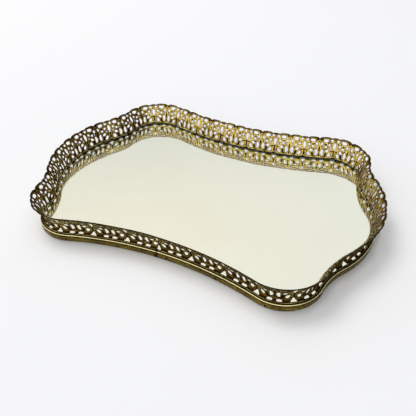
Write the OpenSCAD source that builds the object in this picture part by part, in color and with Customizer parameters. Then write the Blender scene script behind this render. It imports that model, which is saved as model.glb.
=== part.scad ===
// Mirrored dresser tray: a plate of mirror glass in a brass rim moulding, with a flared
// scalloped gallery standing round it. +Z is up, the length runs along X, the front faces -Y,
// and the origin is the middle of the underside.

/* [Outline of the base] */
// Length over the two end bulges
base_length = 400; // [396:1:410]
// Width between the two hollow long sides
waist_width = 239; // [236:1:244]
// Distance of each corner lobe's centre from the middle, along the length
lobe_x = 124; // [122:0.5:126]
// Distance of each corner lobe's centre from the middle, across the width
lobe_y = 95.3; // [94:0.1:96]
// Radius of each corner lobe
lobe_r = 43.3; // [42:0.1:45]
// Radius of the hollow between a lobe and an end bulge
hollow_r = 80.6; // [70:0.1:90]
// Radius of each end bulge
bulge_r = 116.7; // [112:0.1:120]

/* [Rim moulding] */
// Thickness of the rolled brass
sheet_t = 0.6; // [0.5:0.05:0.8]
// Height of the skirt's lower edge above the table
skirt_bottom = 0.4; // [0.2:0.1:0.6]
// Radius of the half-round bead along the top of the skirt
bead_r = 1.3; // [1.1:0.1:1.5]
// Height of the bead's centre
bead_z = 7.7; // [7.5:0.1:7.8]
// How far inside the skirt the riser above the bead stands
riser_in = 2; // [1.9:0.05:2.2]
// How far inside the skirt the ledge reaches, over the mirror's edge
ledge_in = 3; // [2.9:0.1:3.2]

/* [Gallery] */
// Radius of the bend that turns the gallery's foot out over the mirror's margin
bend_r = 2.8; // [2.6:0.1:3]
// Slope where the bend ends and the flare begins, from upright
bend_slope = 9; // [8:0.5:10]
// Radius of the flare, seen in section
flare_r = 40; // [38:0.5:42]
// Slant height of the flare, up to the middle of the scallops
flare_h = 25.4; // [24:0.2:26]
// Width of the flat flange that lies on the ledge
flange_w = 0.7; // [0.6:0.1:0.8]
// Thickness of the gallery strip
gallery_t = 1; // [0.8:0.1:1.2]
// How far inside the skirt the innermost line of the gallery stands
foot_in = 5.6; // [5.5:0.1:5.7]
// Length of one pattern repeat along the strip
motif_pitch = 39.2; // [36:0.1:42]
// How far the first repeat's middle lies from the strip's first end
first_motif = 0.5; // [0.5:0.1:4]

/* [Mirror and base] */
// Thickness of the mirror glass
glass_t = 3; // [2.5:0.1:3.2]
// Thickness of the silvering and its backing paint
silvering_t = 0.15; // [0.1:0.01:0.2]
// Thickness of the card between the mirror and the board
card_t = 1.05; // [0.8:0.05:1.2]
// Thickness of the base board
board_t = 3.7; // [3.6:0.1:3.8]
// Thickness of the felt under the base
felt_t = 1; // [0.8:0.1:1]
// Number of brads round the skirt
brad_count = 20; // [12:1:24]
// Height of the brads above the table
brad_z = 3; // [2.5:0.1:3.5]
// Length of a brad's shank
brad_length = 9; // [6:0.5:12]

/* [Hidden] */
$fn = 48;

// Clearances, and the width of the butt joint in the rim
slip = 0.05;
plate_gap = 0.15;
glass_in = riser_in + sheet_t + plate_gap;
seam_gap = 0.4;

// Places round the skirt, measured anticlockwise from the middle of the front
seam_s = -7.2;
first_brad_s = 4.6;

// The outline is one quarter of tangent arcs, repeated. The waist is hollow, so its centre
// lies outside the tray and its circle touches each lobe.
lobe = [lobe_x, -lobe_y];
bulge = [base_length / 2 - bulge_r, 0];
lobe_rise = waist_width / 2 - lobe_y;
waist_r = (lobe_x ^ 2 + lobe_rise ^ 2 - lobe_r ^ 2) / (2 * (lobe_r - lobe_rise));
waist = [0, -waist_width / 2 - waist_r];

// The hollow's circle touches the lobe and the bulge from outside.
lobe_reach = lobe_r + hollow_r;
bulge_reach = bulge_r + hollow_r;
span = norm(bulge - lobe);
across = (bulge - lobe) / span;
part_way = (lobe_reach ^ 2 - bulge_reach ^ 2 + span ^ 2) / (2 * span);
aside = sqrt(lobe_reach ^ 2 - part_way ^ 2);
hollow = lobe + part_way * across + aside * [across.y, -across.x];

// An arc is [centre, radius, first angle, last angle], travelled anticlockwise round the
// tray, so an angle that falls marks a hollow stretch.
function bearing(from, to) = atan2(to.y - from.y, to.x - from.x);
waist_end = bearing(waist, lobe);
lobe_end = bearing(lobe, hollow);
bulge_start = bearing(bulge, hollow);
quarter = [
    [waist, waist_r, 90, waist_end],
    [lobe, lobe_r, waist_end - 180, lobe_end],
    [hollow, hollow_r, lobe_end + 180, bulge_start + 180],
    [bulge, bulge_r, bulge_start, 0]
];
function flipped(arc) = [[arc[0].x, -arc[0].y], arc[1], -arc[3], -arc[2]];
function turned(arc) = [-arc[0], arc[1], arc[2] + 180, arc[3] + 180];
half = concat(quarter, [for (i = [3:-1:0]) flipped(quarter[i])]);
arcs = concat(half, [for (arc = half) turned(arc)]);

function is_hollow(arc) = arc[3] < arc[2];
// Lengths can be measured along a line that runs some way outside the skirt.
function arc_length(arc, out) =
    (arc[1] + (is_hollow(arc) ? -out : out)) * abs(arc[3] - arc[2]) * PI / 180;
function total_length(out, i = 0) =
    i == len(arcs) ? 0 : arc_length(arcs[i], out) + total_length(out, i + 1);
perimeter = total_length(0);

// The place at a distance s round that line: [x, y, bearing of the outward normal], where
// x and y are on the skirt.
function place(s, out = 0, i = 0) =
    s < 0 ? place(s + total_length(out), out) :
    let (length = arc_length(arcs[i], out))
    s > length ? place(s - length, out, (i + 1) % len(arcs)) : place_on(arcs[i], s / length);
function place_on(arc, part) =
    let (angle = arc[2] + part * (arc[3] - arc[2]))
    [arc[0].x + arc[1] * cos(angle), arc[0].y + arc[1] * sin(angle),
     angle + (is_hollow(arc) ? 180 : 0)];

// Heights of the layers, from the table up
board_z = felt_t;
card_z = board_z + board_t;
silvering_z = card_z + card_t;
glass_z = silvering_z + silvering_t;
ledge_z = glass_z + glass_t + slip;
ledge_top = ledge_z + sheet_t;

// Points of a section are [outwards from the skirt, up]
function arc_points(centre, r, from, to, steps) =
    [for (i = [0:steps]) let (a = from + i * (to - from) / steps)
        centre + r * [cos(a), sin(a)]];
bead_proud = 0.2;
rim_section = concat(
    [[-sheet_t, skirt_bottom], [0, skirt_bottom]],
    arc_points([bead_proud - bead_r, bead_z], bead_r, -30, 120, 6),
    [[-riser_in, bead_z + bead_r / 2], [-riser_in, ledge_top],
     [-ledge_in, ledge_top], [-ledge_in, ledge_z], [-riser_in - sheet_t, ledge_z],
     [-riser_in - sheet_t, bead_z - bead_r], [-sheet_t, bead_z - bead_r]]
);

// In section the gallery is a flat flange, a tight bend that turns it upright, and a long
// arc that leans outwards. up is the distance along the section from the end of the bend,
// negative down the bend and out along the flange. Both arcs' centres lie outside the wall.
bend_centre = [bend_r - foot_in, ledge_top + gallery_t / 2 + bend_r];
flare_centre = bend_centre + (flare_r - bend_r) * [cos(bend_slope), -sin(bend_slope)];
bend_low = -(90 + bend_slope) * PI / 180 * bend_r;
function slope_at(up) =
    up > 0 ? bend_slope + up / flare_r * 180 / PI :
    max(-90, bend_slope + up / bend_r * 180 / PI);
function wall_point(up, out) =
    let (side = [-cos(slope_at(up)), sin(slope_at(up))])
    up > 0 ? flare_centre + (flare_r - out) * side :
    bend_centre + (bend_r - out) * side + [max(0, bend_low - up), 0];
wall_steps = 3;
function wall_section(height) =
    let (ups = concat([bend_low - flange_w, bend_low, bend_low / 2],
                      [for (i = [0:wall_steps]) i * height / wall_steps]),
         last = len(ups) - 1)
    concat([for (i = [0:last]) wall_point(ups[i], gallery_t / 2)],
           [for (i = [last:-1:0]) wall_point(ups[i], -gallery_t / 2)]);

// The strip is bent from a straight length that keeps its length along the wall's middle.
// Its rim rises and falls by eighths of a repeat: a small point, a dip, a broad lobe and a
// notch.
wall_mid = wall_point(flare_h / 2, 0).x;
strip_length = total_length(wall_mid) - seam_gap;
strip_start = seam_s * (1 - wall_mid / waist_r) + seam_gap / 2;
scallop = [0.3, -1.4, 0.8, 0.5, -1.8, 0.5, 0.8, -1.4];
eighths = len(scallop);
last_eighth = ceil((strip_length - first_motif) / motif_pitch * eighths);
function strip_x(k) = min(strip_length, max(0, first_motif + k * motif_pitch / eighths));
gallery_stations = [for (k = [-1:last_eighth])
    [strip_start + strip_x(k), wall_section(flare_h + scallop[(k + eighths) % eighths])]];

outline_steps = 240;
rim_steps = 180;
rim_stations = [for (i = [0:rim_steps])
    [seam_s + seam_gap / 2 + i / rim_steps * (perimeter - seam_gap), rim_section]];

brad_r = 0.5;
head_r = 1.2;
head_h = 0.5;
dome_r = (head_r ^ 2 + head_h ^ 2) / (2 * head_h);

// Runs a section from station to station and closes both ends. A station is [distance,
// section], and out is where its distance is measured.
module strip(stations, out) {
    size = len(stations[0][1]);
    last = len(stations) - 1;
    polyhedron(
        points = [for (station = stations)
            let (spot = place(station[0], out), side = [cos(spot[2]), sin(spot[2])])
            for (p = station[1]) [spot.x + p[0] * side.x, spot.y + p[0] * side.y, p[1]]],
        faces = concat(
            [[for (j = [0:size - 1]) j]],
            [[for (j = [size - 1:-1:0]) last * size + j]],
            [for (i = [0:last - 1], j = [0:size - 1])
                let (here = i * size, next = here + size, k = (j + 1) % size)
                each [[here + j, next + j, next + k], [here + j, next + k, here + k]]]
        )
    );
}

// A flat plate in the tray's outline, drawn in by an inset.
module plate(z, thickness, inset) {
    translate([0, 0, z])
        linear_extrude(thickness)
            polygon([for (i = [0:outline_steps - 1])
                let (spot = place(i * perimeter / outline_steps))
                [spot.x - inset * cos(spot[2]), spot.y - inset * sin(spot[2])]]);
}

// Stands its children at each brad, with +Z pointing out of the skirt.
module each_brad() {
    for (i = [0:brad_count - 1]) {
        spot = place(first_brad_s + i * perimeter / brad_count);
        translate([spot.x, spot.y, brad_z])
            rotate([0, 90, spot[2]])
                children();
    }
}

module rim_moulding() {
    color([0.42, 0.34, 0.16])
        difference() {
            strip(rim_stations, 0);
            each_brad() cylinder(r = brad_r + slip, h = 6 * sheet_t, center = true);
        }
}

module filigree_gallery() {
    color([0.62, 0.48, 0.16]) strip(gallery_stations, wall_mid);
}

module mirror_glass() {
    color([0.8, 0.82, 0.82]) plate(glass_z, glass_t, glass_in);
}

module mirror_silvering() {
    color([0.7, 0.7, 0.72]) plate(silvering_z, silvering_t, glass_in);
}

module backing_card() {
    color([0.55, 0.42, 0.28]) plate(card_z, card_t, glass_in);
}

module base_board() {
    color([0.5, 0.33, 0.18])
        difference() {
            plate(board_z, board_t, sheet_t + plate_gap);
            each_brad() cylinder(r = brad_r, h = 2 * brad_length, center = true);
        }
}

module base_brads() {
    color([0.35, 0.28, 0.14])
        each_brad() {
            translate([0, 0, -brad_length]) cylinder(r = brad_r, h = brad_length);
            rotate_extrude()
                intersection() {
                    translate([0, head_h - dome_r]) circle(dome_r);
                    square([head_r, head_h]);
                }
        }
}

module base_felt() {
    color([0.13, 0.2, 0.15]) plate(0, felt_t, sheet_t + plate_gap);
}

rim_moulding();
filigree_gallery();
mirror_glass();
mirror_silvering();
backing_card();
base_board();
base_brads();
base_felt();
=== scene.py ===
import math

import bmesh
import bpy
import numpy as np
from mathutils import Matrix, Vector


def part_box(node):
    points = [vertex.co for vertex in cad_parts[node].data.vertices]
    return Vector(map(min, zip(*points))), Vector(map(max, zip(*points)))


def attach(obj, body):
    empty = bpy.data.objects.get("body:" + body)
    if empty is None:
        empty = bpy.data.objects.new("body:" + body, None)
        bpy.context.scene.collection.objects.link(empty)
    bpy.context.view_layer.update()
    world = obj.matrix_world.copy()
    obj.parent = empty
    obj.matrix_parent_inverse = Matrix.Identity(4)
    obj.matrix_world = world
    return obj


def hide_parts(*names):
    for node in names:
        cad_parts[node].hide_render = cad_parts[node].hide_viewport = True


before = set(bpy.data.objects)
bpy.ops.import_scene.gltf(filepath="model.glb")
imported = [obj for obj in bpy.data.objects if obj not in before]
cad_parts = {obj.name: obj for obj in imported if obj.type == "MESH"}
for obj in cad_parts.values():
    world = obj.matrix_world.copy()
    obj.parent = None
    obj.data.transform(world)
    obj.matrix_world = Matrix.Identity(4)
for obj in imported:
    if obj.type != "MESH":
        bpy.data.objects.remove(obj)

# Dresser vanity tray. Lengths in the making functions are in mm, as in the CAD source, and
# meshes are scaled to metres as they are made.
MM = 0.001
DEG = math.pi / 180


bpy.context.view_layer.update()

# ---------------------------------------------------------------- sizes shared with the CAD
RIM_LOW, RIM_HIGH = (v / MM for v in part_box("rim_moulding"))
GLASS_LOW, GLASS_HIGH = (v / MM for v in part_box("mirror_glass"))
FELT_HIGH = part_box("base_felt")[1] / MM
SHEET_T = 0.6
PLATE_GAP = 0.15
# Keeps the glass just clear of the silvering.
SILVER_GAP = 0.02
BASE_LENGTH = 2 * (FELT_HIGH.x + SHEET_T + PLATE_GAP)
WAIST_WIDTH = 239
LOBE = np.array([124, -95.3])
LOBE_R = 43.3
HOLLOW_R = 80.6
BULGE_R = 116.7

SKIRT_BOTTOM = RIM_LOW.z
LEDGE_TOP = RIM_HIGH.z
LEDGE_Z = LEDGE_TOP - SHEET_T
BEAD_R = 1.3
BEAD_Z = 7.7
BEAD_PROUD = 0.2
RISER_IN = 2
LEDGE_IN = 3
SEAM_S = -7.2
SEAM_GAP = 0.4

BEND_R = 2.8
BEND_SLOPE = 9
FLARE_R = 40
FLARE_H = 25.4
FLANGE_W = 0.7
GALLERY_T = 1
FOOT_IN = 5.6
PITCH = 39.2
FIRST_MOTIF = 0.5

BRAD_COUNT = 20
FIRST_BRAD_S = 4.6
BRAD_Z = 3
BRAD_HEAD_R = 1.2
BRAD_HEAD_H = 0.5
BRAD_LENGTH = 9


# ---------------------------------------------------------------- the outline
def bearing(start, end):
    return math.degrees(math.atan2(end[1] - start[1], end[0] - start[0]))


def outline_arcs():
    """The skirt's sixteen tangent arcs, anticlockwise from the middle of the front:
    centre x, centre y, radius, first angle, last angle. A falling angle is a hollow."""
    bulge = np.array([BASE_LENGTH / 2 - BULGE_R, 0])
    rise = WAIST_WIDTH / 2 + LOBE[1]
    waist_r = (LOBE[0] ** 2 + rise ** 2 - LOBE_R ** 2) / (2 * (LOBE_R - rise))
    waist = np.array([0, -WAIST_WIDTH / 2 - waist_r])
    span = np.linalg.norm(bulge - LOBE)
    across = (bulge - LOBE) / span
    lobe_reach = LOBE_R + HOLLOW_R
    bulge_reach = BULGE_R + HOLLOW_R
    part_way = (lobe_reach ** 2 - bulge_reach ** 2 + span ** 2) / (2 * span)
    aside = math.sqrt(lobe_reach ** 2 - part_way ** 2)
    hollow = LOBE + part_way * across + aside * np.array([across[1], -across[0]])
    waist_end = bearing(waist, LOBE)
    lobe_end = bearing(LOBE, hollow)
    bulge_start = bearing(bulge, hollow)
    quarter = [
        [*waist, waist_r, 90, waist_end],
        [*LOBE, LOBE_R, waist_end - 180, lobe_end],
        [*hollow, HOLLOW_R, lobe_end + 180, bulge_start + 180],
        [*bulge, BULGE_R, bulge_start, 0],
    ]
    half = quarter + [[x, -y, r, -b, -a] for x, y, r, a, b in reversed(quarter)]
    return np.array(half + [[-x, -y, r, a + 180, b + 180] for x, y, r, a, b in half])


ARCS = outline_arcs()
ARC_TURNS = np.abs(ARCS[:, 4] - ARCS[:, 3]) * DEG
ARC_SIDES = np.where(ARCS[:, 4] < ARCS[:, 3], -1, 1)


def arc_lengths(out):
    """The arcs' lengths along a line that runs some way outside the skirt."""
    return (ARCS[:, 2] + ARC_SIDES * out) * ARC_TURNS


PERIMETER = arc_lengths(0).sum()


def place(s, out=0):
    """x, y and the outward unit normal of the skirt at distances s round that line."""
    lengths = arc_lengths(out)
    ends = np.cumsum(lengths)
    s = np.mod(s, ends[-1])
    i = np.minimum(np.searchsorted(ends, s), len(ARCS) - 1)
    cx, cy, r, first, last = np.moveaxis(ARCS[i], -1, 0)
    angle = (first + (s - ends[i] + lengths[i]) / lengths[i] * (last - first)) * DEG
    side = ARC_SIDES[i]
    return cx + r * np.cos(angle), cy + r * np.sin(angle), side * np.cos(angle), side * np.sin(angle)


def stand(s, out, up, line=0):
    """3-D points at distance s round a line, out from the skirt and up from the table."""
    x, y, nx, ny = place(s, line)
    return np.stack(np.broadcast_arrays(x + out * nx, y + out * ny, up), axis=-1)


def waver(s, seed, size):
    """A slow seeded unevenness round the tray that closes on itself."""
    rng = np.random.default_rng(seed)
    turns = 2 * math.pi * np.asarray(s)[..., None] / PERIMETER
    waves = rng.integers(3, 23, 7)
    return size * np.sin(turns * waves + rng.uniform(0, 7, 7)).sum(-1) / 2.6


# ---------------------------------------------------------------- mesh helpers
def make_piece(name, points, faces, material, replaces=(), layers=None):
    mesh = bpy.data.meshes.new(name)
    mesh.from_pydata((np.asarray(points, float) * MM).tolist(), [], faces)
    mesh.validate()
    for layer, values in (layers or {}).items():
        mesh.attributes.new(layer, "FLOAT", "POINT").data.foreach_set(
            "value", np.asarray(values, np.float32))
    mesh.polygons.foreach_set("use_smooth", [True] * len(mesh.polygons))
    mesh.update()
    piece = bpy.data.objects.new(name, mesh)
    bpy.context.scene.collection.objects.link(piece)
    piece.data.materials.append(material)
    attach(piece, "root")
    if replaces:
        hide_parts(*replaces)
    return piece


def loft_faces(rings, size):
    """Quads between rings of points that are numbered ring by ring."""
    faces = []
    for i in range(rings - 1):
        here, there = i * size, (i + 1) * size
        for j in range(size):
            k = (j + 1) % size
            faces.append((here + j, there + j, there + k, here + k))
    return faces


def arc(centre, r, start, end, steps):
    a = np.linspace(start, end, steps + 1) * DEG
    return [(centre[0] + r * c, centre[1] + r * s) for c, s in zip(np.cos(a), np.sin(a))]


# ---------------------------------------------------------------- material helpers
def new_material(name):
    material = bpy.data.materials.new(name)
    material.use_nodes = True
    tree = material.node_tree
    return material, tree, tree.nodes["Principled BSDF"]


def node(tree, kind, inputs=None, **settings):
    made = tree.nodes.new(kind)
    for key, value in settings.items():
        setattr(made, key, value)
    for key, value in (inputs or {}).items():
        if isinstance(value, bpy.types.NodeSocket):
            tree.links.new(value, made.inputs[key])
        else:
            made.inputs[key].default_value = value
    return made


def math_node(tree, operation, a, b):
    return node(tree, "ShaderNodeMath", {0: a, 1: b}, operation=operation).outputs[0]


def rescale(tree, value, low, high, to_low=0.0, to_high=1.0):
    return node(tree, "ShaderNodeMapRange", {
        "Value": value, "From Min": low, "From Max": high, "To Min": to_low, "To Max": to_high,
    }, interpolation_type="SMOOTHSTEP").outputs[0]


def mix_colour(tree, factor, a, b):
    return node(tree, "ShaderNodeMix", {0: factor, 6: a, 7: b}, data_type="RGBA").outputs[2]


def noise(tree, where, scale, detail=4.0, rough=0.55, stretch=None):
    if stretch:
        where = node(tree, "ShaderNodeMapping", {"Vector": where, "Scale": stretch}).outputs[0]
    return node(tree, "ShaderNodeTexNoise", {
        "Vector": where, "Scale": scale, "Detail": detail, "Roughness": rough}).outputs[0]


def object_space(tree):
    return node(tree, "ShaderNodeTexCoord").outputs["Object"]


def attribute(tree, name):
    return node(tree, "ShaderNodeAttribute", attribute_name=name).outputs["Fac"]


def bump(tree, shader, height, strength, distance):
    made = node(tree, "ShaderNodeBump", {"Height": height, "Strength": strength, "Distance": distance})
    tree.links.new(made.outputs[0], shader.inputs["Normal"])


def add_spread(tree, height, texture, size):
    """Adds a texture to a height, centred on nought."""
    spread = math_node(tree, "MULTIPLY", math_node(tree, "SUBTRACT", texture, 0.5), size)
    return math_node(tree, "ADD", height, spread)


def antique_brass(name, dark, olive, gold):
    """Gilt brass with patina in the low places and bright wear on the high ones. The mesh's
    relief layer says how high each place stands, with painted highlight and painted shade added in places,
    and its shade layer holds painted shade, which darkens it."""
    material, tree, shader = new_material(name)
    where = object_space(tree)
    mottle = noise(tree, where, 380, 5, 0.6)
    blotch = noise(tree, where, 38, 3, 0.5)
    grime = noise(tree, where, 900, 3, 0.6)
    height = add_spread(tree, attribute(tree, "relief"), mottle, 0.7)
    height = add_spread(tree, height, blotch, 0.45)
    height = math_node(tree, "SUBTRACT", height, attribute(tree, "shade"))
    body = mix_colour(tree, rescale(tree, height, 0.25, 0.77), dark, olive)
    colour = mix_colour(tree, rescale(tree, height, 0.62, 0.98), body, gold)
    colour = mix_colour(tree, rescale(tree, grime, 0.52, 0.75, 0.0, 0.55), colour, dark)
    tree.links.new(colour, shader.inputs["Base Color"])
    tree.links.new(rescale(tree, height, 0.1, 0.95, 0.62, 0.27), shader.inputs["Roughness"])
    shader.inputs["Specular IOR Level"].default_value = 0.15
    tree.links.new(rescale(tree, height, 0.0, 0.5, 0.75, 1.0), shader.inputs["Metallic"])
    rough = math_node(tree, "ADD", mottle, math_node(tree, "MULTIPLY", grime, 0.4))
    bump(tree, shader, rough, 0.35, 0.0004)
    return material


def glass_material():
    """Clear inside the edge. The mesh's shade layer marks the edge band, dulled by grinding and painted
    near-black as painted shade for the dark band along the gallery's foot.
    """
    material, tree, shader = new_material("clear_mirror_glass")
    where = object_space(tree)
    ground_and_painted_shade = attribute(tree, "shade")
    # The edge band is painted near-black and opaque: painted shade.
    colour = mix_colour(tree, ground_and_painted_shade, (0.975, 0.99, 0.975, 1), (0.028, 0.022, 0.008, 1))
    tree.links.new(colour, shader.inputs["Base Color"])
    clear = math_node(tree, "SUBTRACT", 1.0, ground_and_painted_shade)
    tree.links.new(clear, shader.inputs["Transmission Weight"])
    shader.inputs["IOR"].default_value = 1.52
    haze = noise(tree, where, 30, 4, 0.6)
    rough = math_node(tree, "MULTIPLY", ground_and_painted_shade, 0.5)
    rough = math_node(tree, "ADD", rough, rescale(tree, haze, 0.35, 0.8, 0.0, 0.004))
    tree.links.new(rough, shader.inputs["Roughness"])
    return material


def silver_material():
    material, tree, shader = new_material("old_silvering")
    where = object_space(tree)
    cloud = noise(tree, where, 9, 3, 0.5)
    speck = noise(tree, where, 420, 2, 0.7)
    clean = mix_colour(tree, rescale(tree, cloud, 0.35, 0.7),
                       (0.95, 0.945, 0.90, 1), (0.93, 0.925, 0.865, 1))
    colour = mix_colour(tree, rescale(tree, speck, 0.74, 0.8, 0.0, 0.35), clean, (0.35, 0.33, 0.28, 1))
    tree.links.new(colour, shader.inputs["Base Color"])
    shader.inputs["Metallic"].default_value = 1.0
    tree.links.new(rescale(tree, cloud, 0.3, 0.8, 0.003, 0.01), shader.inputs["Roughness"])
    return material


def board_material():
    material, tree, shader = new_material("pressed_board")
    where = object_space(tree)
    fibre = noise(tree, where, 700, 4, 0.7, (1, 1, 6))
    lump = noise(tree, where, 90, 3, 0.5)
    colour = mix_colour(tree, fibre, (0.16, 0.09, 0.045, 1), (0.33, 0.21, 0.12, 1))
    colour = mix_colour(tree, math_node(tree, "MULTIPLY", lump, 0.5), colour, (0.2, 0.12, 0.06, 1))
    tree.links.new(colour, shader.inputs["Base Color"])
    tree.links.new(rescale(tree, fibre, 0.3, 0.7, 0.7, 0.92), shader.inputs["Roughness"])
    bump(tree, shader, fibre, 0.5, 0.0003)
    return material


def card_material():
    material, tree, shader = new_material("grey_card")
    where = object_space(tree)
    pulp = noise(tree, where, 500, 5, 0.65)
    layers = noise(tree, where, 300, 2, 0.5, (0.05, 0.05, 8))
    colour = mix_colour(tree, pulp, (0.27, 0.2, 0.13, 1), (0.44, 0.35, 0.25, 1))
    colour = mix_colour(tree, math_node(tree, "MULTIPLY", layers, 0.4), colour, (0.3, 0.24, 0.17, 1))
    tree.links.new(colour, shader.inputs["Base Color"])
    tree.links.new(rescale(tree, pulp, 0.3, 0.7, 0.8, 0.95), shader.inputs["Roughness"])
    bump(tree, shader, pulp, 0.3, 0.0002)
    return material


def felt_material():
    material, tree, shader = new_material("green_felt")
    where = object_space(tree)
    fibre = noise(tree, where, 2600, 3, 0.7)
    tuft = noise(tree, where, 420, 5, 0.7)
    rubbed = noise(tree, where, 16, 4, 0.6)
    colour = mix_colour(tree, rescale(tree, fibre, 0.3, 0.7), (0.014, 0.03, 0.018, 1), (0.05, 0.1, 0.06, 1))
    colour = mix_colour(tree, rescale(tree, tuft, 0.45, 0.75, 0.0, 0.6), colour, (0.075, 0.13, 0.085, 1))
    colour = mix_colour(tree, rescale(tree, rubbed, 0.5, 0.75, 0.0, 0.5), colour, (0.1, 0.13, 0.095, 1))
    tree.links.new(colour, shader.inputs["Base Color"])
    shader.inputs["Roughness"].default_value = 0.95
    shader.inputs["Sheen Weight"].default_value = 0.25
    bump(tree, shader, math_node(tree, "ADD", fibre, tuft), 0.6, 0.0004)
    return material


# ---------------------------------------------------------------- the filigree repeat
# A repeat is symmetric about its middle line. Its openings are
# (across, up, half width, half height, turn in degrees, squareness).
OPENINGS = [
    (11.0, 20.9, 3.3, 2.05, -3, 2.4),
    (3.7, 21.4, 1.75, 1.45, 12, 2.2),
    (6.4, 15.2, 1.5, 1.7, 20, 2),
    (11.2, 12.7, 1.75, 1.5, 25, 2),
    (16.3, 16.4, 1.4, 2.0, -8, 2.2),
    (15.2, 12.2, 0.8, 0.75, 0, 2),
    (5.0, 10.6, 0.8, 1.15, -18, 2),
    (9.3, 7.4, 2.5, 1.75, -25, 2.2),
    (6.2, 2.0, 2.1, 3.1, 30, 2.2),
    (14.6, -3.6, 3.0, 1.35, 0, 2.5),
]
CRESCENT = (15.6, 4.9, 1.95, 4.7)
LOZENGE_UP = 13.6
LOZENGE = (1.95, 5.1)
TRIANGLE = (-4.9, 0.6, 3.9)
PITS = [(10.6, 3.6, 0.95), (12.6, 9.0, 0.7), (2.6, 7.4, 0.6), (13.0, -0.6, 0.8), (8.0, 18.0, 0.6)]
# A crease runs up the middle of the repeat, between these heights.
STEM_CREASE = (-0.6, 9.4)
# Raised scrolls: points along each, and its half width.
SCROLLS = [
    ([(2.5, 18.4), (2.9, 14.6), (2.7, 10.6), (1.9, 7.0), (1.6, 3.4), (2.3, 0.6), (4.6, -1.0), (8.0, -1.4),
      (12.4, -1.2), (16.0, -1.3), (19.6, -1.2)], 0.8),
    ([(0, -2.4), (19.6, -2.4)], 1.3),
    ([(18.1, -1.2), (18.0, 4.0), (17.6, 9.8), (18.6, 13.4), (19.6, 18.6)], 0.85),
    ([(19.5, 21.6), (16.9, 19.2), (13.6, 17.9), (9.4, 17.4), (5.2, 18.6), (2.6, 19.4)], 0.8),
    ([(3.2, 12.6), (5.0, 12.7), (8.6, 14.6), (9.4, 17.2)], 0.8),
    ([(3.4, 9.0), (5.6, 8.4), (6.8, 10.8), (8.4, 11.9)], 0.8),
    ([(13.4, -1.2), (13.1, 3.0), (12.9, 6.6), (13.4, 10.6), (13.9, 14.4), (13.6, 17.6)], 0.8),
    ([(8.6, -1.0), (9.4, 2.4), (8.6, 4.9), (5.0, 5.8), (2.4, 5.4)], 0.7),
]
# The strands are round up to this distance from their edges, and sink a little beyond it.
RIDGE_R = 0.95
CELLS_ACROSS = 60
CELLS_UP = 54
# The net reaches this far above the middle of the scallops.
RIM_SPARE = 1.3
FLANGE_EDGE = -(90 + BEND_SLOPE) * DEG * BEND_R - FLANGE_W


def oval(x, y, cx, cy, a, b, turn=0, power=2):
    """About the distance outside an oval's edge, negative inside it."""
    c, s = math.cos(turn * DEG), math.sin(turn * DEG)
    u = np.abs(((x - cx) * c + (y - cy) * s) / a)
    v = np.abs(((y - cy) * c - (x - cx) * s) / b)
    return ((u ** power + v ** power) ** (1 / power) - 1) * min(a, b)


def rim_line(x):
    """Height of the scalloped rim: a small point in the middle, a broad lobe on each side."""
    x = np.abs(x)

    def lobe(middle, half, rise):
        return rise * np.sqrt(np.clip(1 - (np.abs(x - middle) / half) ** 2.6, 0, 1))
    return FLARE_H - 1.7 + np.maximum(lobe(0, 4.6, 1.6), lobe(11.9, 7.4, 2.3))


def metal(x, y):
    """Distance into the metal from the nearest opening or the rim, negative in an opening."""
    x = np.abs(x)
    gaps = [oval(x, y, *opening) for opening in OPENINGS]
    cx, cy, a, b = CRESCENT
    gaps.append(oval(x + 0.9 * ((y - cy) / b) ** 2, y, cx + 0.5, cy, a, b))
    a, b = LOZENGE
    narrow = 1 - 0.45 * np.clip((LOZENGE_UP - y) / b, 0, 1)
    gaps.append(oval(x / narrow, y, 0, LOZENGE_UP, a, b) * narrow)
    low, top, half = TRIANGLE
    slant = math.hypot(top - low, half)
    gaps.append(np.maximum(low - y, (x * (top - low) - (top - y) * half) / slant))
    return np.minimum.reduce(gaps + [rim_line(x) - y])


def near_line(x, y, line):
    """Distance to the nearest straight piece of a line."""
    best = np.full(np.shape(x), 99.0)
    for (x0, y0), (x1, y1) in zip(line[:-1], line[1:]):
        dx, dy = x1 - x0, y1 - y0
        t = np.clip(((x - x0) * dx + (y - y0) * dy) / (dx * dx + dy * dy), 0, 1)
        best = np.minimum(best, np.hypot(x - x0 - t * dx, y - y0 - t * dy))
    return best


def smooth_line(line, steps=6):
    """A curve through the points, with each span cut into equal steps."""
    p = np.array([line[0]] + list(line) + [line[-1]], float)
    t = np.linspace(0, 1, steps, endpoint=False)[:, None]
    parts = [0.5 * (2 * b + (c - a) * t + (2 * a - 5 * b + 4 * c - d) * t ** 2
                    + (3 * b - a - 3 * c + d) * t ** 3)
             for a, b, c, d in zip(p[:-3], p[1:-2], p[2:-1], p[3:])]
    return np.concatenate(parts + [p[-1:]])


def relief(x, y):
    """How high the surface stands, from 0 at an edge to 1 on a strand's crest."""
    x = np.abs(x)
    depth = metal(x, y)
    rounded = np.sqrt(np.clip(1 - (1 - np.clip(depth / RIDGE_R, 0, 1)) ** 2, 0, 1))
    fall = np.clip((depth - RIDGE_R) / 0.8, 0, 1)
    height = 0.84 * rounded * (1 - 0.6 * fall * fall * (3 - 2 * fall))
    for line, half in SCROLLS:
        away = near_line(x, y, smooth_line(line)) / half
        scroll = np.sqrt(np.clip(1 - away ** 2, 0, 1))
        height = np.maximum(height, scroll * np.clip(depth / 0.4 + 0.3, 0, 1))
    for across, up, size in PITS:
        height -= np.exp(-((x - across) ** 2 + (y - up) ** 2) / size ** 2)
    stem_low, stem_high = STEM_CREASE
    crease = np.clip((stem_high - y) / 2, 0, 1) * np.clip((y - stem_low) / 1.2, 0, 1)
    height -= np.exp(-((x / 0.6) ** 2)) * crease
    return np.clip(height, 0, 1)


def slope_at(up):
    """The wall's slope from upright, in the bend below 0 and in the flare above it."""
    bend = np.maximum(-90, BEND_SLOPE + up / BEND_R / DEG)
    return np.where(up > 0, BEND_SLOPE + up / FLARE_R / DEG, bend) * DEG


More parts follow.
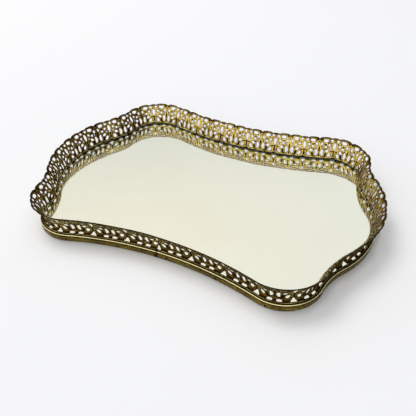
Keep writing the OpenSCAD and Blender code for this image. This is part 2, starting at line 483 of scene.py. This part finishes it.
def wall_point(up, out):
    """Offset from the skirt and height of the gallery wall, at a distance up its section."""
    up = np.asarray(up, float)
    slope = slope_at(up)
    side = np.stack([-np.cos(slope), np.sin(slope)])
    bend_centre = np.array([BEND_R - FOOT_IN, LEDGE_TOP + GALLERY_T / 2 + BEND_R])
    flare_centre = bend_centre + (FLARE_R - BEND_R) * np.array(
        [math.cos(BEND_SLOPE * DEG), -math.sin(BEND_SLOPE * DEG)])
    low = FLANGE_EDGE + FLANGE_W
    flat = np.maximum(0, low - up)
    u = np.where(up > 0, flare_centre[0] + (FLARE_R - out) * side[0],
                 bend_centre[0] + (BEND_R - out) * side[0] + flat)
    z = np.where(up > 0, flare_centre[1] + (FLARE_R - out) * side[1],
                 bend_centre[1] + (BEND_R - out) * side[1])
    return u, z


# The strip keeps its length along the wall's middle as it is bent round the tray.
WALL_MID = float(wall_point(FLARE_H / 2, 0)[0])
STRIP_LENGTH = arc_lengths(WALL_MID).sum() - SEAM_GAP
STRIP_START = SEAM_S * (1 - WALL_MID / ARCS[0, 2]) + SEAM_GAP / 2


def repeat_net(start, end):
    """Faces that cover one repeat's metal from start to end, with flat (across, up) points.
    Grid points that lie close to an edge are moved onto it, so that no sliver is left."""
    xs = np.linspace(-PITCH / 2, PITCH / 2, CELLS_ACROSS + 1)
    ys = np.linspace(FLANGE_EDGE, FLARE_H + RIM_SPARE, CELLS_UP + 1)
    x, y = (g.ravel() for g in np.meshgrid(xs, ys))

    def field(px, py):
        return np.minimum.reduce([metal(px, py), px - start, end - px])
    value = field(x, y)
    step = 0.02
    gx = (field(x + step, y) - field(x - step, y)) / (2 * step)
    gy = (field(x, y + step) - field(x, y - step)) / (2 * step)
    gx[np.isclose(np.abs(x), PITCH / 2)] = 0
    gy[np.isclose(y, FLANGE_EDGE)] = 0
    steep = np.maximum(gx ** 2 + gy ** 2, 0.05)
    shift = np.hypot(value * gx / steep, value * gy / steep)
    snap = shift < 0.33 * (xs[1] - xs[0])
    snap &= np.hypot(gx, gy) > 0.2
    x = np.where(snap, x - value * gx / steep, x)
    y = np.where(snap, y - value * gy / steep, y)
    value = np.where(snap, 0.0, field(x, y))
    points = [tuple(p) for p in np.stack([x, y], 1)]
    crossings = {}

    def crossing(a, b):
        key = (min(a, b), max(a, b))
        if key not in crossings:
            t = value[a] / (value[a] - value[b])
            crossings[key] = len(points)
            points.append((x[a] + t * (x[b] - x[a]), y[a] + t * (y[b] - y[a])))
        return crossings[key]
    faces = []
    row = CELLS_ACROSS + 1
    for j in range(CELLS_UP):
        for i in range(CELLS_ACROSS):
            a = j * row + i
            b, c, d = a + 1, a + row + 1, a + row
            if min(value[[a, b, c, d]]) > 0.9:
                faces.append((a, b, c, d))
                continue
            if (i < CELLS_ACROSS / 2) == (j % 2 == 0):
                pair = ((a, b, c), (a, c, d))
            else:
                pair = ((a, b, d), (b, c, d))
            for face in pair:
                kept = []
                if max(value[list(face)]) <= 0:
                    continue
                for p, q in zip(face, face[1:] + face[:1]):
                    if value[p] >= 0:
                        kept.append(p)
                    if value[p] * value[q] < 0:
                        kept.append(crossing(p, q))
                if len(kept) > 2:
                    faces.append(tuple(kept))
    return np.array(points), faces


def gallery_net():
    """The whole strip laid flat: points (along, up), relief at each, and faces."""
    points, heights, faces = [], [], []
    count = 0
    plain = repeat_net(-PITCH, PITCH)
    repeats = math.ceil((STRIP_LENGTH - FIRST_MOTIF) / PITCH + 0.5)
    for k in range(repeats):
        flat, tiles = plain
        middle = FIRST_MOTIF + k * PITCH
        if k in (0, repeats - 1):
            flat, tiles = repeat_net(-middle, STRIP_LENGTH - middle)
        points.append(flat + [middle, 0])
        heights.append(relief(flat[:, 0], flat[:, 1]))
        faces += [tuple(v + count for v in tile) for tile in tiles]
        count += len(flat)
    points = np.concatenate(points)
    heights = np.concatenate(heights)
    _, first_of, same = np.unique(np.round(points, 3), axis=0, return_index=True, return_inverse=True)
    same = same.ravel()
    faces = [tuple(dict.fromkeys(same[list(face)].tolist())) for face in faces]
    faces = [face for face in faces if len(face) > 2]
    used = np.unique([v for face in faces for v in face])
    slim = np.full(len(first_of), -1)
    slim[used] = np.arange(len(used))
    keep = first_of[used]
    return points[keep], heights[keep], [tuple(slim[list(face)].tolist()) for face in faces]


def open_edges(faces):
    """The directed edges that only one face has, in the order of the faces."""
    seen = dict.fromkeys((a, b) for face in faces for a, b in zip(face, face[1:] + face[:1]))
    return [(a, b) for a, b in seen if (b, a) not in seen]


def make_gallery(material):
    """The openwork strip: its flat net bent round the tray as an inner and an outer skin."""
    flat, height, tiles = gallery_net()
    along, up = flat.T
    s = STRIP_START + along
    # The strip is held at its foot and wavers towards its rim.
    loose = np.clip(up / FLARE_H, 0, 1)
    sway = waver(s, 11, 0.3) * loose
    lift = waver(s, 12, 0.18) * loose
    rng = np.random.default_rng(5)
    hand = rng.normal(0, 0.03, len(s))
    # The outer skin's relief fades out where the flange lies on the ledge.
    resting = np.clip((up - FLANGE_EDGE - FLANGE_W) / 2, 0, 1)
    inner = -(0.24 + 0.42 * height + hand)
    outer = 0.24 + 0.36 * height * resting + hand * resting
    layers = []
    for out in (inner, outer):
        u, z = wall_point(up, out)
        layers.append(stand(s, u + sway, z + lift, WALL_MID))
    points = np.concatenate(layers)
    n = len(s)
    faces = [tuple(v + n for v in tile) for tile in tiles]
    faces += [tuple(reversed(tile)) for tile in tiles]
    faces += [(b + n, a + n, a, b) for a, b in open_edges(tiles)]
    x = np.mod(along - FIRST_MOTIF + PITCH / 2, PITCH) - PITCH / 2
    # Painted shade: the rim's edge is darkened, and so is the whole outer skin, most of all at its foot.
    edge = 0.5 * np.clip(1.6 - (rim_line(x) - up), 0, 1)
    painted_outer_shade = 0.14 + 0.5 * np.clip(-up / 1.5, 0, 1)
    # The outer skin's relief is stretched, so that its low places go darker than the inner skin's, more
    # painted shade.
    return make_piece("filigree_strip", points, faces, material, ["filigree_gallery"], {
        "relief": np.concatenate([height, 1.38 * height - 0.2]),
        "shade": np.concatenate([edge, painted_outer_shade + edge]),
    })


# ---------------------------------------------------------------- the rim moulding
def rim_section():
    """The moulding's section with each point's relief: [out, up, relief]."""
    bead = arc((BEAD_PROUD - BEAD_R, BEAD_Z), BEAD_R, -38, 128, 22)
    groove = BEAD_Z + BEAD_R / 2 + 0.43
    # The skirt darkens just under the bead as painted shade.
    ring = [(-SHEET_T, SKIRT_BOTTOM, 0.1), (-0.25, SKIRT_BOTTOM, 0.6), (-0.04, SKIRT_BOTTOM + 0.2, 0.65),
            (0.02, SKIRT_BOTTOM + 0.8, 0.52), (0.05, 2.4, 0.55), (0.05, 4.2, 0.52), (0.0, 5.6, 0.48),
            (-0.12, 6.3, 0.34), (-0.2, 6.62, 0.15)]
    # A painted highlight runs along the bead just above its middle, where its crest is also worn bright.
    ring += [(u, z, 0.2 + 1.2 * math.exp(-((z - BEAD_Z - 0.55) / 0.4) ** 2)) for u, z in bead]
    ring += [(-RISER_IN - 0.02, groove, 0.25), (-RISER_IN + 0.05, groove + 0.2, 0.5),
             (-RISER_IN + 0.04, LEDGE_TOP - 0.35, 0.6), (-RISER_IN, LEDGE_TOP - 0.2, 0.7),
             (-RISER_IN - 0.1, LEDGE_TOP - 0.06, 0.8), (-RISER_IN - 0.3, LEDGE_TOP, 0.6),
             (-LEDGE_IN + 0.2, LEDGE_TOP, 0.3), (-LEDGE_IN, LEDGE_TOP - 0.2, 0.4),
             (-LEDGE_IN, LEDGE_Z, 0.2), (-RISER_IN - SHEET_T, LEDGE_Z, 0.0),
             (-RISER_IN - SHEET_T, BEAD_Z - BEAD_R, 0.0), (-SHEET_T, BEAD_Z - BEAD_R, 0.0)]
    return np.array(ring)


def make_rim(material):
    """The moulding, swept from one side of the butt joint round to the other."""
    section = rim_section()
    size = len(section)
    rings = 720
    # The skirt wavers more towards its lower edge, and gapes a little at its first end.
    s = SEAM_S + SEAM_GAP / 2 + np.linspace(0, 1, rings) * (PERIMETER - SEAM_GAP)
    low = np.clip((BEAD_Z - section[:, 1]) / BEAD_Z, 0, 1)
    gape = 0.12 * np.exp(-(s - s[0]) / 6)
    out = section[:, 0] + (waver(s, 21, 0.09) + gape)[:, None] * low
    up = section[:, 1] + waver(s, 22, 0.05)[:, None] * (section[:, 1] < BEAD_Z - BEAD_R)
    points = stand(s[:, None], out, up).reshape(-1, 3)
    faces = [tuple(reversed(face)) for face in loft_faces(rings, size)]
    faces.append(tuple(range(size)))
    faces.append(tuple(reversed(range((rings - 1) * size, rings * size))))
    # The cut ends are dark.
    ends = np.exp(-np.minimum(s - s[0], s[-1] - s) / 0.5)[:, None]
    # The section's relief carries the bead's painted highlight and the painted shade under it.
    wear_and_painted_light = np.clip(section[:, 2] - 0.5 * ends, 0, 1.2)
    return make_piece("rolled_rim", points, faces, material, ["rim_moulding"], {
        "relief": wear_and_painted_light.ravel(), "shade": np.zeros(rings * size)})


# ---------------------------------------------------------------- the pane and the brads
def make_pane(material):
    """The mirror's glass, with a slightly bevelled edge that is dulled by grinding and darkened as painted
    shade.
    """
    inset = RISER_IN + SHEET_T + PLATE_GAP
    low, high = GLASS_LOW.z + SILVER_GAP, GLASS_HIGH.z
    steps = 480
    s = np.arange(steps) * PERIMETER / steps
    profile = [(inset + 0.3, low), (inset, low + 0.3), (inset, high - 0.5), (inset + 0.15, high - 0.15),
               (inset + 0.5, high)]
    points = np.concatenate([stand(s, -i, z) for i, z in profile])
    faces = loft_faces(len(profile), steps)
    faces = [(a, d, c, b) for a, b, c, d in faces]
    faces.append(tuple(reversed(range(steps))))
    faces.append(tuple(range((len(profile) - 1) * steps, len(profile) * steps)))
    # The shade layer marks the edge band, painted dark in the glass as painted shade.
    ground_and_painted_shade = np.repeat([0.0, 1.0, 1.0, 0.6, 0.0], steps)
    pane = make_piece("mirror_pane", points, faces, material, ["mirror_glass"], {
        "shade": ground_and_painted_shade})
    for face in pane.data.polygons[-2:]:
        face.use_smooth = False
    return pane


def make_brads(material):
    """Small domed heads, each dented by the hammer, with a shank that ends in the board."""
    rng = np.random.default_rng(31)
    points, faces, heights = [], [], []
    profile = [(0.42, -BRAD_LENGTH), (0.46, -0.2), (BRAD_HEAD_R, -0.02), (BRAD_HEAD_R + 0.02, 0.1),
               (1.02, 0.28), (0.72, 0.42), (0.36, BRAD_HEAD_H - 0.02)]
    around = 20
    for i in range(BRAD_COUNT):
        x, y, nx, ny = place(FIRST_BRAD_S + i * PERIMETER / BRAD_COUNT)
        middle = np.array([x, y, BRAD_Z])
        out = np.array([nx, ny, 0])
        along = np.array([-ny, nx, 0])
        dent = rng.normal(0, 0.04, around)
        tip = rng.normal(0, 0.05, 2)
        base = len(points)
        for r, h in profile:
            for k in range(around):
                a = 2 * math.pi * k / around
                reach = r * (1 + dent[k] * (h > 0))
                aside = reach * math.cos(a) + tip[0] * (h > 0)
                rise = reach * math.sin(a) + tip[1] * (h > 0)
                points.append(middle + out * h + along * aside + np.array([0, 0, rise]))
                heights.append(0.1 if h < 0.2 else 0.35 + 0.5 * h)
        faces += [tuple(base + v for v in face) for face in loft_faces(len(profile), around)]
        top = base + (len(profile) - 1) * around
        points.append(middle + out * BRAD_HEAD_H)
        heights.append(0.6)
        faces += [(top + k, len(points) - 1, top + (k + 1) % around) for k in range(around)]
        faces.append(tuple(base + k for k in range(around)))
    return make_piece("brad_heads", points, faces, material, ["base_brads"], {
        "relief": heights, "shade": np.zeros(len(points))})


def turn_out(piece):
    """Makes every face of a closed mesh look outwards."""
    work = bmesh.new()
    work.from_mesh(piece.data)
    bmesh.ops.recalc_face_normals(work, faces=work.faces)
    work.to_mesh(piece.data)
    work.free()


# ---------------------------------------------------------------- the object
gallery_brass = antique_brass(
    "gallery_gilt", (0.032, 0.017, 0.004, 1), (0.215, 0.13, 0.018, 1), (1.0, 0.79, 0.24, 1))
# The rim's pale gold shows mostly in the painted highlight along its bead.
rim_brass = antique_brass(
    "rim_gilt", (0.03, 0.019, 0.004, 1), (0.33, 0.24, 0.05, 1), (1.0, 0.94, 0.56, 1))
brad_brass = antique_brass(
    "brad_gilt", (0.008, 0.006, 0.003, 1), (0.035, 0.026, 0.012, 1), (0.2, 0.15, 0.06, 1))

pieces = [
    make_gallery(gallery_brass),
    make_rim(rim_brass),
    make_pane(glass_material()),
    make_brads(brad_brass),
]
for piece in pieces:
    turn_out(piece)

for name, material in (("mirror_silvering", silver_material()), ("backing_card", card_material()),
                       ("base_board", board_material()), ("base_felt", felt_material())):
    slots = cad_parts[name].data.materials
    for i in range(len(slots)):
        slots[i] = material
    if not slots:
        slots.append(material)

# ---------------------------------------------------------------- stage, light and camera
floor_mesh = bpy.data.meshes.new("floor")
floor_mesh.from_pydata([(-6, -6, -0.0003), (6, -6, -0.0003), (6, 6, -0.0003), (-6, 6, -0.0003)], [],
                       [(0, 1, 2, 3)])
floor = bpy.data.objects.new("floor", floor_mesh)
bpy.context.scene.collection.objects.link(floor)
floor_material, _, floor_shader = new_material("pale_floor")
floor_shader.inputs["Base Color"].default_value = (0.80, 0.84, 0.95, 1)
floor_shader.inputs["Roughness"].default_value = 0.9
floor_shader.inputs["Specular IOR Level"].default_value = 0.1
floor.data.materials.append(floor_material)

# A pale room: a ceiling that pales upwards, and walls with a broad window on the viewer's side.
world = bpy.data.worlds.new("studio")
bpy.context.scene.world = world
world.use_nodes = True
sky = world.node_tree
direction = node(sky, "ShaderNodeTexCoord").outputs["Generated"]
parts = node(sky, "ShaderNodeSeparateXYZ", {0: direction}).outputs
high = rescale(sky, parts["Z"], 0.42, 0.68)
cool = rescale(sky, parts["X"], -0.55, 0.1)
ceiling = mix_colour(sky, high, (0.775, 0.793, 0.755, 1), (0.975, 0.915, 0.80, 1))
ceiling = mix_colour(sky, math_node(sky, "MULTIPLY", cool, 0.7), ceiling, (0.875, 0.893, 0.88, 1))
toward = node(sky, "ShaderNodeVectorMath", {0: direction, 1: (-0.35, -0.93, 0)}, operation="DOT_PRODUCT")
window = rescale(sky, toward.outputs["Value"], -0.25, 0.55)
walls = mix_colour(sky, window, (0.09, 0.08, 0.06, 1), (1.22, 1.14, 0.94, 1))
# The room's far right corner is unlit to a greater height.
corner = math_node(sky, "MULTIPLY", rescale(sky, parts["X"], 0.1, 0.5), 0.5)
height = math_node(sky, "SUBTRACT", parts["Z"], corner)
room = mix_colour(sky, rescale(sky, height, 0.24, 0.44), walls, ceiling)
sky.links.new(room, sky.nodes["Background"].inputs["Color"])
sky.nodes["Background"].inputs["Strength"].default_value = 1.0

key = bpy.data.lights.new("key", "AREA")
key.size = 2.4
key.energy = 112.0
key.color = (1.07, 1.0, 0.88)
lamp = bpy.data.objects.new("key", key)
bpy.context.scene.collection.objects.link(lamp)
lamp.location = (-2.24, 0.64, 4.48)
lamp.rotation_euler = (-lamp.location).to_track_quat("-Z", "Y").to_euler()
lamp.visible_glossy = False
lamp.visible_transmission = False

# The point of view.
AZIMUTH, ELEVATION, ROLL = 24.53 * DEG, 36.78 * DEG, -0.46 * DEG
back = Vector((math.sin(AZIMUTH) * math.cos(ELEVATION), -math.cos(AZIMUTH) * math.cos(ELEVATION),
               math.sin(ELEVATION)))
right = Vector((math.cos(AZIMUTH), math.sin(AZIMUTH), 0))
level = back.cross(right)
across = right * math.cos(ROLL) + level * math.sin(ROLL)
lens = bpy.data.cameras.new("camera")
lens.lens = 43.68
lens.sensor_width = 36
lens.shift_x = -0.00185
lens.shift_y = -0.0244
lens.clip_start = 0.01
camera = bpy.data.objects.new("camera", lens)
bpy.context.scene.collection.objects.link(camera)
turn = Matrix((across, back.cross(across), back)).transposed().to_4x4()
camera.matrix_world = Matrix.Translation(back * 0.6241) @ turn
bpy.context.scene.camera = camera
bpy.context.scene.view_settings.view_transform = "Standard"

bpy.context.view_layer.update()
